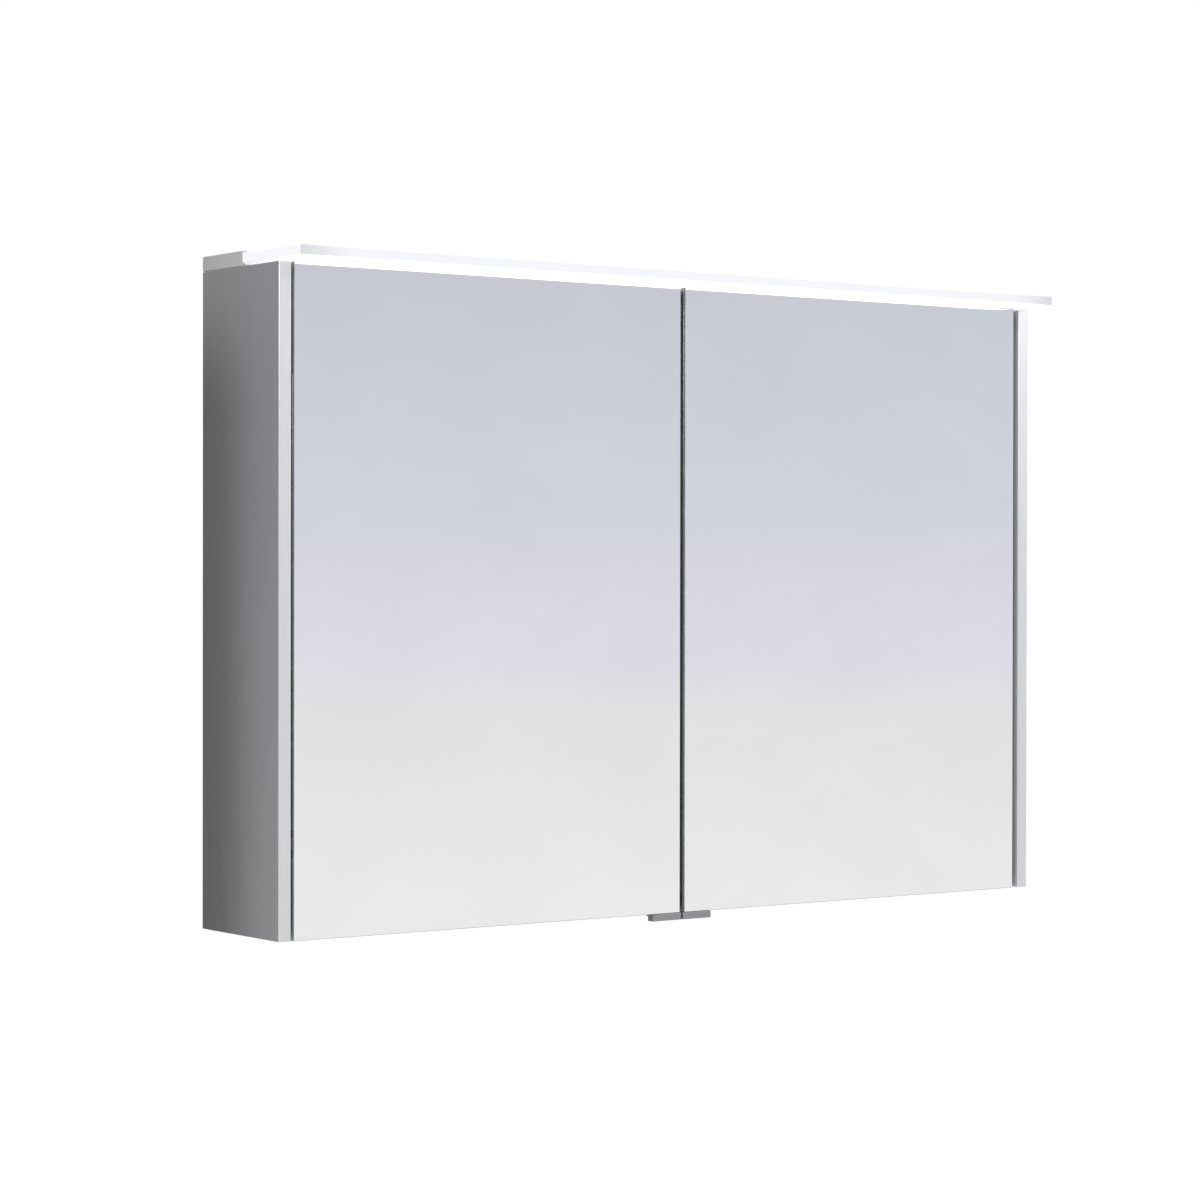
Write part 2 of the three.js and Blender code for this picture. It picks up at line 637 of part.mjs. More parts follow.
const cabinet = new THREE.Group();
addBody(cabinet);
addWallFixing(cabinet);
addShelves(cabinet);
addLight(cabinet);
addElectrics(cabinet);
for (const [side, sign] of Object.entries(SIDES)) {
  addDoor(cabinet, side, sign);
}
addBuffers(cabinet);

export default cabinet;
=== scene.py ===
"""Finishes, light and camera for a wall-hung mirror cabinet with an edge-lit light panel.

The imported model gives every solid. Each one is shown here as a finished copy with flat faces, rounded
edges and a material of its own, and the small fittings that the model leaves out are added on the bodies
that carry them. Lengths are in metres in the model's frame: +Z up, doors facing -Y, the wall at y = 0.
"""
import json
import math

import bmesh
import bpy
from mathutils import Matrix, Vector


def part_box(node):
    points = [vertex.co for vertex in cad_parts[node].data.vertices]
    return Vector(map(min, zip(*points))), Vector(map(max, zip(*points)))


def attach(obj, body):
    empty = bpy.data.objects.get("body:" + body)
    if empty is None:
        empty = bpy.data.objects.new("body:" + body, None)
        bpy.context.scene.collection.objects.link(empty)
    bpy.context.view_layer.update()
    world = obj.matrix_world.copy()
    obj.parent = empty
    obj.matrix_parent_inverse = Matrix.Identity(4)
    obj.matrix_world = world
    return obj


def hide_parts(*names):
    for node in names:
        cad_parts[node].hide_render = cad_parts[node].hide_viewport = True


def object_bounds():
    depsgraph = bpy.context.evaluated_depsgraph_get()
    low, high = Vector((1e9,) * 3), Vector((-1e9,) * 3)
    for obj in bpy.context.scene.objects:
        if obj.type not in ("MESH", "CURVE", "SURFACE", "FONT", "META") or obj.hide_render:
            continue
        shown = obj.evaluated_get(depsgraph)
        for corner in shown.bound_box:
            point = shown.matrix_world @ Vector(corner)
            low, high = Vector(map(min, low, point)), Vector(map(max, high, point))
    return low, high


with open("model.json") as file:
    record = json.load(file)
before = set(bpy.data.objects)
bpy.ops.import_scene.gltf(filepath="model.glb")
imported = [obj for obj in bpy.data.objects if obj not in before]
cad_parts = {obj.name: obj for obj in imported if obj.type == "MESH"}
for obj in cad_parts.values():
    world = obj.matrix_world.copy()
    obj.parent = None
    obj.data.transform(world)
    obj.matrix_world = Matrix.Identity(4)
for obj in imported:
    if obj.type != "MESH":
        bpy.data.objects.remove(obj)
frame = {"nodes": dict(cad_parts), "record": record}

CAD_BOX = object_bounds()
MM = 0.001
BODY_OF = {n: b for b, nodes in frame["record"]["behaviour"]["bodies"].items() for n in nodes}
SIDES = {"left": -1, "right": 1}
LEVELS = ("lower", "upper")


# ---- camera --------------------------------------------------------------------------------------

CAMERA_PLACE = (-2.1276, -2.9231, -0.2405)
CAMERA_TURN = math.radians(36.04)
CAMERA_TILT = math.radians(-0.428)
CAMERA_ROLL = math.radians(0.083)
CAMERA_LENS = 98.1
FARTHEST_SEEN = 60


def add_camera():
    camera = bpy.data.objects.new("camera", bpy.data.cameras.new("camera"))
    bpy.context.scene.collection.objects.link(camera)
    camera.data.lens = CAMERA_LENS
    camera.data.clip_end = FARTHEST_SEEN
    turn = Matrix.Rotation(-CAMERA_TURN, 4, "Z")
    tilt = Matrix.Rotation(math.pi / 2 + CAMERA_TILT, 4, "X")
    roll = Matrix.Rotation(CAMERA_ROLL, 4, "Z")
    camera.matrix_world = Matrix.Translation(CAMERA_PLACE) @ turn @ tilt @ roll
    bpy.context.scene.camera = camera


# ---- material helpers ----------------------------------------------------------------------------

def linear(hex_colour):
    """An sRGB hex colour as linear RGBA."""
    parts = [int(hex_colour[i:i + 2], 16) / 255 for i in (1, 3, 5)]
    return (*[p / 12.92 if p <= 0.04045 else ((p + 0.055) / 1.055) ** 2.4 for p in parts], 1.0)


def add(tree, kind, inputs=None, **settings):
    """Adds one node. inputs maps a socket's name or index to a value, or to another node's output."""
    made = tree.nodes.new(kind)
    for key, value in settings.items():
        setattr(made, key, value)
    for key, value in (inputs or {}).items():
        if isinstance(value, bpy.types.NodeSocket):
            tree.links.new(value, made.inputs[key])
        else:
            made.inputs[key].default_value = value
    return made


def new_material(name, **shader_settings):
    """A material with one Principled shader, whose constant sockets are given by name."""
    material = bpy.data.materials.new(name)
    material.use_nodes = True
    tree = material.node_tree
    shader = tree.nodes["Principled BSDF"]
    for key, value in shader_settings.items():
        shader.inputs[key.replace("_", " ")].default_value = value
    return material, tree, shader


def per(size_mm):
    """The texture scale, per metre, at which one feature is size_mm across."""
    return 1 / (size_mm * MM)


def speckle(tree, sizes_mm, detail=2.0):
    """Noise whose features have the given size in millimetres along x, y and z."""
    place = add(tree, "ShaderNodeTexCoord").outputs["Object"]
    scaled = add(tree, "ShaderNodeMapping", {"Vector": place, "Scale": [per(s) for s in sizes_mm]})
    noise = {"Vector": scaled.outputs[0], "Scale": 1.0, "Detail": detail}
    return add(tree, "ShaderNodeTexNoise", noise).outputs["Fac"]


def between(tree, factor, low, high):
    """A factor from 0 to 1, taken to a range of values."""
    inputs = {"Value": factor, "From Min": 0.3, "From Max": 0.7, "To Min": low, "To Max": high}
    return add(tree, "ShaderNodeMapRange", inputs).outputs[0]


def tones(tree, factor, dark, light):
    """A factor from 0 to 1, taken to a colour between two sRGB hex colours."""
    spread = between(tree, factor, 0.0, 1.0)
    mix = add(tree, "ShaderNodeMix", {0: spread, 6: linear(dark), 7: linear(light)}, data_type="RGBA")
    return mix.outputs[2]


def relief(tree, shader, height, depth_mm, strength):
    """Raises the surface by a height pattern whose full range is depth_mm."""
    inputs = {"Height": height, "Distance": depth_mm * MM, "Strength": strength}
    tree.links.new(add(tree, "ShaderNodeBump", inputs).outputs[0], shader.inputs["Normal"])


# ---- materials -----------------------------------------------------------------------------------

# Brushed grain's size in millimetres along x, y and z.
UPRIGHT = (1.1, 1.1, 90)
LENGTHWAYS = (90, 1.1, 1.1)


def satin_anodised_skin(name, grain_mm, dark, light):
    """Aluminium sheet, brushed and clear anodised: grey and softly shining, with faint grain one way.
    A brush leaves lines 0.2 mm wide, drawn 1.1 mm wide so that they show."""
    material, tree, shader = new_material(name, Metallic=1.0)
    grain = speckle(tree, grain_mm)
    tree.links.new(tones(tree, grain, dark, light), shader.inputs["Base Color"])
    tree.links.new(between(tree, grain, 0.36, 0.40), shader.inputs["Roughness"])
    relief(tree, shader, grain, 0.01, 0.2)
    return material


def drawn_aluminium():
    """Aluminium profile, extruded along its length and clear anodised: fine lines run lengthways.
    Die lines are 0.1 mm wide, drawn 0.9 mm wide so that they show."""
    material, tree, shader = new_material("drawn_aluminium", Metallic=1.0)
    lines = speckle(tree, (80, 0.9, 0.9))
    tree.links.new(tones(tree, lines, "#b3b4b4", "#c2c3c3"), shader.inputs["Base Color"])
    tree.links.new(between(tree, lines, 0.30, 0.40), shader.inputs["Roughness"])
    relief(tree, shader, lines, 0.01, 0.3)
    return material


def bead_blasted_grip():
    """Aluminium grip, bead blasted and anodised: an even dull grey with a fine matt grain. The beads'
    0.1 mm dents are drawn 0.7 mm wide so that they show."""
    material, tree, shader = new_material("bead_blasted_grip", Metallic=1.0)
    grit = speckle(tree, (0.7, 0.7, 0.7))
    tree.links.new(tones(tree, grit, "#8f9091", "#a2a3a3"), shader.inputs["Base Color"])
    tree.links.new(between(tree, grit, 0.36, 0.46), shader.inputs["Roughness"])
    relief(tree, shader, grit, 0.02, 0.3)
    return material


def silvered_mirror():
    """Float glass silvered on its back: a sharp, bright reflection with a faint wiping haze."""
    material, tree, shader = new_material("silvered_mirror", Metallic=1.0)
    haze = speckle(tree, (160, 160, 90), detail=4.0)
    tree.links.new(tones(tree, haze, "#f3f3f3", "#f7f7f7"), shader.inputs["Base Color"])
    tree.links.new(between(tree, haze, 0.012, 0.03), shader.inputs["Roughness"])
    return material


def ground_glass_edge():
    """The ground and polished edge of a clear glass shelf: pale sea green, darker in streaks."""
    material, tree, shader = new_material("ground_glass_edge", Roughness=0.16, IOR=1.52)
    streaks = speckle(tree, (14, 14, 14))
    tree.links.new(tones(tree, streaks, "#86a99b", "#a9c6ba"), shader.inputs["Base Color"])
    return material


def backed_mirror_edge():
    """The ground edge of a mirror: grey green, darkened by the paint that seals the silver behind it."""
    material, tree, shader = new_material("backed_mirror_edge", Roughness=0.22, IOR=1.52)
    streaks = speckle(tree, (14, 14, 14))
    tree.links.new(tones(tree, streaks, "#7a8280", "#8d9492"), shader.inputs["Base Color"])
    return material


def clear_shelf_glass():
    """Toughened clear glass shelf: colourless face on, with its faint green from the iron in it."""
    settings = {"Roughness": 0.0, "IOR": 1.52, "Transmission_Weight": 1.0}
    material, tree, shader = new_material("clear_shelf_glass", **settings)
    drift = speckle(tree, (120, 120, 120))
    tree.links.new(tones(tree, drift, "#eef8f4", "#f6fbf9"), shader.inputs["Base Color"])
    return material


def melamine_board():
    """Particle board faced with melamine paper: light pearl grey, with a fine pressed pore. The pores'
    0.2 mm width is drawn as 0.9 mm so that they show."""
    material, tree, shader = new_material("melamine_board", IOR=1.5)
    pores = speckle(tree, (0.9, 0.9, 2.4), detail=3.0)
    tree.links.new(tones(tree, pores, "#d9dadb", "#e3e4e5"), shader.inputs["Base Color"])
    tree.links.new(between(tree, pores, 0.42, 0.55), shader.inputs["Roughness"])
    relief(tree, shader, pores, 0.03, 0.35)
    return material


def lacquered_fibreboard():
    """Fibreboard sprayed with silver lacquer: an even satin grey with a little orange peel."""
    material, tree, shader = new_material("lacquered_fibreboard", Metallic=0.3, IOR=1.5)
    peel = speckle(tree, (2, 2, 2))
    tree.links.new(tones(tree, peel, "#b2b4b6", "#bdbfc1"), shader.inputs["Base Color"])
    tree.links.new(between(tree, peel, 0.38, 0.48), shader.inputs["Roughness"])
    relief(tree, shader, peel, 0.02, 0.3)
    return material


def zinc_plated_steel():
    """Pressed steel, zinc plated and blue passivated: a cool bright grey with a soft cloudy bloom."""
    material, tree, shader = new_material("zinc_plated_steel", Metallic=1.0)
    bloom = speckle(tree, (7, 7, 7), detail=5.0)
    tree.links.new(tones(tree, bloom, "#a7acb3", "#c6c8ca"), shader.inputs["Base Color"])
    tree.links.new(between(tree, bloom, 0.24, 0.42), shader.inputs["Roughness"])
    return material


def nickel_plated_hinge():
    """Steel hinge, barrel polished and nickel plated: warm, bright, smooth, with slight orange peel."""
    material, tree, shader = new_material("nickel_plated_hinge", Metallic=1.0)
    peel = speckle(tree, (1.6, 1.6, 1.6))
    tree.links.new(tones(tree, peel, "#c2beb6", "#d0ccc5"), shader.inputs["Base Color"])
    tree.links.new(between(tree, peel, 0.16, 0.24), shader.inputs["Roughness"])
    relief(tree, shader, peel, 0.01, 0.3)
    return material


def moulded_abs(name, dark, light):
    """ABS, moulded in a spark-eroded tool: a clean even colour with a fine texture and a low sheen. The
    tool's 0.05 mm texture is drawn at 0.6 mm so that it shows."""
    material, tree, shader = new_material(name, IOR=1.53)
    texture = speckle(tree, (0.6, 0.6, 0.6))
    tree.links.new(tones(tree, texture, dark, light), shader.inputs["Base Color"])
    tree.links.new(between(tree, texture, 0.34, 0.46), shader.inputs["Roughness"])
    relief(tree, shader, texture, 0.02, 0.4)
    return material


def moulded_rubber():
    """EPDM rubber, compression moulded: near black, dull, with a slight bloom."""
    material, tree, shader = new_material("moulded_rubber", IOR=1.5)
    bloom = speckle(tree, (3, 3, 3), detail=4.0)
    tree.links.new(tones(tree, bloom, "#232324", "#333334"), shader.inputs["Base Color"])
    tree.links.new(between(tree, bloom, 0.62, 0.8), shader.inputs["Roughness"])
    return material


def cast_polyurethane():
    """Clear polyurethane buffer, cast as a drop: soft, glassy and slightly milky."""
    settings = {"Roughness": 0.12, "IOR": 1.49, "Transmission_Weight": 0.6}
    material, tree, shader = new_material("cast_polyurethane", **settings)
    cloud = speckle(tree, (2, 2, 2))
    tree.links.new(tones(tree, cloud, "#e4e7e8", "#f2f4f4"), shader.inputs["Base Color"])
    return material


def solder_mask():
    """White solder mask on an LED board: satin white with a faint trace pattern under it."""
    material, tree, shader = new_material("solder_mask", Roughness=0.4)
    traces = speckle(tree, (12, 12, 1.2))
    tree.links.new(tones(tree, traces, "#e6e7e0", "#f4f5f0"), shader.inputs["Base Color"])
    return material


def led_phosphor():
    """Yellow phosphor over an LED chip, lit: warm white, with the phosphor's yellow in its body colour.
    Its 0.02 mm grains are drawn 0.5 mm wide so that they show."""
    settings = {"Roughness": 0.5, "Emission_Color": linear("#fff6e2"), "Emission_Strength": 4.0}
    material, tree, shader = new_material("led_phosphor", **settings)
    grains = speckle(tree, (0.5, 0.5, 0.5))
    tree.links.new(tones(tree, grains, "#e9cf5c", "#f2de7e"), shader.inputs["Base Color"])
    return material


LIT_FRONT = 0.38  # glow of the light panel's front edge, and of its faces
LIT_FACES = 1.25
LIT_ENDS = 0.45  # share of its glow left at the panel's two ends
LIT_FADE = 60  # mm over which the glow fades towards them


def edge_lit_acrylic():
    """Acrylic sheet with light fed in at its back edge: its faces glow evenly white, and its polished
    front edge much less, fading over the last few centimetres, past the last LED."""
    settings = {"Roughness": 0.2, "IOR": 1.49, "Base_Color": linear("#a4a6a8")}
    material, tree, shader = new_material("edge_lit_acrylic", **settings)
    geometry = add(tree, "ShaderNodeNewGeometry")
    normal = add(tree, "ShaderNodeSeparateXYZ", {0: geometry.outputs["Normal"]})
    front = {"Value": normal.outputs["Y"], "From Min": -0.95, "From Max": -0.5}
    front.update({"To Min": LIT_FRONT, "To Max": LIT_FACES})
    glow = add(tree, "ShaderNodeMapRange", front).outputs[0]
    place = add(tree, "ShaderNodeSeparateXYZ", {0: add(tree, "ShaderNodeTexCoord").outputs["Object"]})
    side = add(tree, "ShaderNodeMath", {0: place.outputs["X"]}, operation="ABSOLUTE").outputs[0]
    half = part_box("light_panel")[1].x
    fade = {"Value": side, "From Min": half - LIT_FADE * MM, "From Max": half}
    fade.update({"To Min": 1.0, "To Max": LIT_ENDS})
    ends = add(tree, "ShaderNodeMapRange", fade).outputs[0]
    patches = between(tree, speckle(tree, (60, 60, 60)), 0.985, 1.0)
    even = add(tree, "ShaderNodeMath", {0: glow, 1: patches}, operation="MULTIPLY").outputs[0]
    strength = add(tree, "ShaderNodeMath", {0: even, 1: ends}, operation="MULTIPLY").outputs[0]
    shader.inputs["Emission Color"].default_value = linear("#fdfeff")
    tree.links.new(strength, shader.inputs["Emission Strength"])
    return material


# ---- finished copies of the model's solids -------------------------------------------------------

FLAT = math.radians(1)  # faces that turn less than this are one flat face
SHARP = math.radians(30)  # edges that turn more than this are rounded
WELD = 1e-6
ALONG = 0.99  # least share of a face's normal along an axis that it is said to look along


def merged_solid(node):
    """A node's solid as a bmesh whose triangles are joined into whole flat faces."""
    solid = bmesh.new()
    solid.from_mesh(frame["nodes"][node].data)
    bmesh.ops.remove_doubles(solid, verts=solid.verts, dist=WELD)
    bmesh.ops.dissolve_limit(solid, angle_limit=FLAT, verts=solid.verts, edges=solid.edges)
    bmesh.ops.recalc_face_normals(solid, faces=solid.faces)
    return solid


def turns(edge, low, high):
    """Whether the surface turns at an edge by an angle between two bounds."""
    return len(edge.link_faces) == 2 and low < edge.calc_face_angle() < high


def round_edges(solid, radius_mm, steps):
    """Rounds the sharp edges. Only the roundings and the sides of round parts are shaded smooth."""
    for face in solid.faces:
        face.smooth = any(turns(e, FLAT, SHARP) for e in face.edges)
    sharp = [e for e in solid.edges if turns(e, SHARP, math.pi)]
    shape = {"offset": radius_mm * MM, "offset_type": "OFFSET", "segments": steps, "profile": 0.5}
    rounded = bmesh.ops.bevel(solid, geom=sharp, affect="EDGES", clamp_overlap=True, **shape)
    for face in rounded["faces"]:
        face.smooth = True


def as_object(solid, name, *materials):
    mesh = bpy.data.meshes.new(name)
    solid.to_mesh(mesh)
    solid.free()
    for material in materials:
        mesh.materials.append(material)
    made = bpy.data.objects.new(name, mesh)
    bpy.context.scene.collection.objects.link(made)
    return made


def faces_along(normal, axis, way=0):
    """Whether a face looks along an axis: either way, or only towards +1 or -1."""
    return normal[axis] * way > ALONG if way else abs(normal[axis]) > ALONG


def finished(node, material, radius_mm=0.5, steps=2, edge_material=None, face_axis=None):
    """Shows a node as a copy with rounded edges. Faces that don't look along face_axis are its edges."""
    solid = merged_solid(node)
    round_edges(solid, radius_mm, steps)
    if edge_material:
        for face in solid.faces:
            face.material_index = 0 if faces_along(face.normal, face_axis) else 1
    materials = [m for m in (material, edge_material) if m]
    piece = as_object(solid, node + ".finished", *materials)
    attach(piece, BODY_OF[node])
    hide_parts(node)
    return piece


# ---- small fittings ------------------------------------------------------------------------------

def lathe(profile, steps=32):
    """A solid of revolution about z; profile is a list of (radius, height) in mm from axis to axis."""
    solid = bmesh.new()
    points = [solid.verts.new((r * MM, 0, z * MM)) for r, z in profile]
    edges = [solid.edges.new(pair) for pair in zip(points, points[1:])]
    turn = {"cent": (0, 0, 0), "axis": (0, 0, 1), "angle": math.tau, "steps": steps, "use_merge": True}
    bmesh.ops.spin(solid, geom=points + edges, **turn)
    bmesh.ops.remove_doubles(solid, verts=solid.verts, dist=WELD / 10)
    bmesh.ops.recalc_face_normals(solid, faces=solid.faces)
    for face in solid.faces:
        face.smooth = True
    return solid


def add_block(solid, low, high):
    """Adds a box between two corners, in metres, to a bmesh."""
    size = Vector(high) - Vector(low)
    place = Matrix.Translation((Vector(low) + Vector(high)) / 2) @ Matrix.Diagonal((*size, 1))
    bmesh.ops.create_cube(solid, size=1, matrix=place)


# A pan head, in mm: its radius, height and upright rim, and its cross recess.
SCREW_HEAD = 3.4
SCREW_RISE = 1.9
SCREW_RIM = 0.5
CROSS_REACH = 1.9
CROSS_HALF_WIDTH = 0.38
CROSS_FLOOR = 0.9
CROSS_OPENING = 3


def screw_mesh(material):
    """A pan-head screw: domed head with a cross recess, standing on z = 0."""
    arc = [math.radians(a) for a in range(0, 91, 15)]
    crown = SCREW_RISE - SCREW_RIM
    dome = [(SCREW_HEAD * math.cos(a), SCREW_RIM + crown * math.sin(a)) for a in arc[:-1]]
    outline = [(0, 0), (SCREW_HEAD, 0), *dome, (0, SCREW_RISE)]
    head = as_object(lathe(outline), "screw_head", material)
    cross = bmesh.new()
    long, short = CROSS_REACH * MM, CROSS_HALF_WIDTH * MM
    for across, along in ((long, short), (short, long)):
        add_block(cross, (-across, -along, CROSS_FLOOR * MM), (across, along, CROSS_OPENING * MM))
    cutter = as_object(cross, "screw_cutter", material)
    cut = head.modifiers.new("recess", "BOOLEAN")
    cut.object = cutter
    cut.solver = "EXACT"
    cut.use_self = True
    mesh = bpy.data.meshes.new_from_object(head.evaluated_get(bpy.context.evaluated_depsgraph_get()))
    mesh.name = "pan_head_screw"
    for spare in (head, cutter):
        bpy.data.objects.remove(spare)
    return mesh


def add_screw(mesh, name, body, place, facing, spin=0.0):
    """Seats a screw at a point, its head towards facing."""
    screw = bpy.data.objects.new(name, mesh)
    bpy.context.scene.collection.objects.link(screw)
    turn = Vector(facing).to_track_quat("Z", "Y").to_matrix().to_4x4()
    screw.matrix_world = Matrix.Translation(place) @ turn @ Matrix.Rotation(spin, 4, "Z")
    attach(screw, body)


# ---- assembly ------------------------------------------------------------------------------------

# Where the back panel's screws are, in mm: in from its edge, out from the partition's middle, and below
# and above its own middle.
BACK_INSET = 10
BACK_BESIDE_MIDDLE = 60
BACK_BELOW_MIDDLE = 40
BACK_ABOVE_MIDDLE = 160


def finish_body(skin, painted_light_edge_skin, long_skin, lacquer, board, screw):
    """The body's boards. The side panels are skinned outside and lacquered inside. Their edges get a
    lighter copy of the skin, which is painted light that makes the front edges look more brightly lit
    than the sides.
    """
    for side, sign in SIDES.items():
        # The panel's edges take the lighter copy of the skin: painted light, not a different finish.
        panel = finished(f"side_panel_{side}", skin, 0.6, 3, painted_light_edge_skin, 0).data
        panel.materials.append(lacquer)
        for face in panel.polygons:
            if faces_along(face.normal, 0, -sign):
                face.material_index = 2
    for node in ("top_panel", "bottom_panel"):
        finished(node, long_skin, 0.4)
    finished("back_panel", board, 0.3)
    finished("centre_partition", board, 0.6, 3)
    low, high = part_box("back_panel")
    middle = (low.z + high.z) / 2
    inset = BACK_INSET * MM
    beside = BACK_BESIDE_MIDDLE * MM
    columns = (low.x + inset, -beside, beside, high.x - inset)
    rows = (low.z + inset, middle - BACK_BELOW_MIDDLE * MM, middle + BACK_ABOVE_MIDDLE * MM)
    for number, (x, z) in enumerate((x, z) for x in columns for z in rows):
        place = (x, high.y, z)
        add_screw(screw, f"back_panel_screw_{number}", "cabinet_body", place, (0, 1, 0), 0.8 * number)


# A hanger's plate thickness, and its screws out from its middle and up from its lower edge, in mm.
HANGER_PLATE = 2.5
HANGER_SCREW_OUT = 18
HANGER_SCREW_UP = 9


def finish_wall_fixing(steel, rubber, screw):
    finished("wall_rail", steel, 0.5, 3)
    for side in SIDES:
        node = f"hanger_{side}"
        finished(node, steel, 0.5, 3)
        finished(f"wall_spacer_{side}", rubber, 1.2, 3)
        low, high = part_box(node)
        middle = (low.x + high.x) / 2
        plate_back = low.y + HANGER_PLATE * MM
        for number, way in enumerate((-1, 1)):
            place = (middle + way * HANGER_SCREW_OUT * MM, plate_back, low.z + HANGER_SCREW_UP * MM)
            add_screw(screw, f"{node}_screw_{number}", "cabinet_body", place, (0, 1, 0), 0.4 + number)


def finish_shelves(glass, glass_edge, profile):
    for side in SIDES:
        for level in LEVELS:
            node = f"shelf_{side}_{level}"
            finished(node, glass, 0.6, 2, glass_edge, 2)
            for end in ("outer", "inner"):
                finished(f"shelf_rail_{side}_{level}_{end}", profile, 0.3)


# The LED chips' pitch, width, rise off the board and height, in mm.
LED_PITCH = 10
LED_WIDTH = 2.8
LED_RISE = 0.5
LED_HEIGHT = 3.5


def finish_light(profile, cap_abs, acrylic, mask, phosphor, abs_white):
    finished("light_housing", profile, 0.4)
    for side in SIDES:
        finished(f"light_end_cap_{side}", cap_abs, 0.5, 3)
    finished("light_panel", acrylic, 1.0, 3)
    finished("led_strip", mask, 0.2)
    finished("led_driver", abs_white, 1.0, 3)

    low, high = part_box("led_strip")
    chips = bmesh.new()
    count = int((high.x - low.x) / (LED_PITCH * MM))
    middle = (low.z + high.z) / 2
    half = Vector((LED_WIDTH, LED_RISE, LED_HEIGHT)) * MM / 2
    for number in range(count):
        x = low.x + (number + 0.5) * LED_PITCH * MM
        centre = Vector((x, low.y - half.y, middle))
        add_block(chips, centre - half, centre + half)
    round_edges(chips, 0.15, 1)
    piece = as_object(chips, "led_chips", phosphor)
    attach(piece, "cabinet_body")


# The socket's earth clips, in mm: width and thickness, the well's rim above them, and how far they stand
# back from its front and from its floor.
CLIP_WIDTH = 4.4
CLIP = 1.6
CLIP_RIM = 1.6
CLIP_FRONT = 2
CLIP_FLOOR = 5


def add_earth_clips(plated):
    """Two sprung contacts at the top and bottom of the socket's well."""
    low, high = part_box("socket_insert")
    middle = (low + high) / 2
    half = CLIP_WIDTH / 2 * MM
    reach = (high.z - low.z) / 2 - CLIP_RIM * MM
    front, back = low.y + CLIP_FRONT * MM, high.y - CLIP_FLOOR * MM
    clips = bmesh.new()
    for up in (-1, 1):
        near, far = sorted((middle.z + up * reach, middle.z + up * (reach - CLIP * MM)))
        add_block(clips, (middle.x - half, front, near), (middle.x + half, back, far))
    round_edges(clips, 0.4, 2)
    piece = as_object(clips, "socket_earth_clips", plated)
    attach(piece, "cabinet_body")


BOX_SCREW_IN = 6  # the switch box's screws, mm from its sides and its top
BOX_SCREW_DOWN = 7


def finish_electrics(abs_white, rubber, plated, screw):
    finished("power_box", abs_white, 1.6, 4)
    finished("socket_insert", abs_white, 0.5, 2)
    finished("switch_rocker", abs_white, 0.9, 3)
    finished("cable_gland", rubber, 0.6, 3)
    finished("light_lead", rubber, 0.3)
    low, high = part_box("power_box")
    for number, x in enumerate((low.x + BOX_SCREW_IN * MM, high.x - BOX_SCREW_IN * MM)):
        place = (x, low.y, high.z - BOX_SCREW_DOWN * MM)
        add_screw(screw, f"power_box_screw_{number}", "cabinet_body", place, (0, -1, 0), 0.7 * number)
    add_earth_clips(plated)


# A hinge's screws, in mm: the arm's plate, in from its ends and its back, and in from the leaf's ends
# and its free edge.
ARM_PLATE = 2.5
ARM_SCREW_IN = 7
ARM_SCREW_BACK = 12
LEAF_SCREW_IN = 9


def finish_hinges(plated, screw):
    for side, sign in SIDES.items():
        for level in LEVELS:
            arm, leaf = f"hinge_arm_{side}_{level}", f"hinge_leaf_{side}_{level}"
            finished(arm, plated, 0.4)
            finished(leaf, plated, 0.4)
            finished(f"hinge_pin_{side}_{level}", plated, 0.4)
            low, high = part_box(arm)
            plate_face = (low.x if sign < 0 else high.x) - sign * ARM_PLATE * MM
            for number, z in enumerate((low.z + ARM_SCREW_IN * MM, high.z - ARM_SCREW_IN * MM)):
                place = (plate_face, high.y - ARM_SCREW_BACK * MM, z)
                add_screw(screw, f"{arm}_screw_{number}", "cabinet_body", place, (-sign, 0, 0), number)
            low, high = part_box(leaf)
            free_end = (high.x if sign < 0 else low.x) + sign * LEAF_SCREW_IN * MM
            for number, z in enumerate((low.z + LEAF_SCREW_IN * MM, high.z - LEAF_SCREW_IN * MM)):
                name = f"{leaf}_screw_{number}"
                add_screw(screw, name, f"door_{side}", (free_end, high.y, z), (0, 1, 0), 0.5 * number)


def finish_doors(mirror, glass_edge, profile, core, grip):
    for side in SIDES:
        finished(f"door_mirror_{side}", mirror, 0.5, 2, glass_edge, 1)
        finished(f"inner_mirror_{side}", mirror, 0.5, 2, glass_edge, 1)
        finished(f"door_frame_{side}", profile, 0.3)
        finished(f"door_core_{side}", core, 0.3)
        finished(f"handle_{side}", grip, 0.5, 3)


def finish_buffers(buffer_material):
    for side in SIDES:
        for level in LEVELS:
            finished(f"door_buffer_{side}_{level}", buffer_material, 0.6, 4)


# ---- studio --------------------------------------------------------------------------------------

FLOOR_DROP = 1.3  # the cabinet's underside over the floor
FLOOR_REACH = 9
BACKDROP_REACH = 12


def emitting(name, colour, strength):
    """A plain glowing surface for the backdrop."""
    material = bpy.data.materials.new(name)
    material.use_nodes = True
    tree = material.node_tree
    tree.nodes.clear()
    glow = add(tree, "ShaderNodeEmission", {"Color": linear(colour), "Strength": strength}).outputs[0]
    add(tree, "ShaderNodeOutputMaterial", {"Surface": glow})
    return material


def seen_only_by(obj, *rays):
    """Leaves an object visible only to the named kinds of ray."""
    for kind in ("camera", "diffuse", "glossy", "transmission", "volume_scatter", "shadow"):
        setattr(obj, f"visible_{kind}", kind in rays)


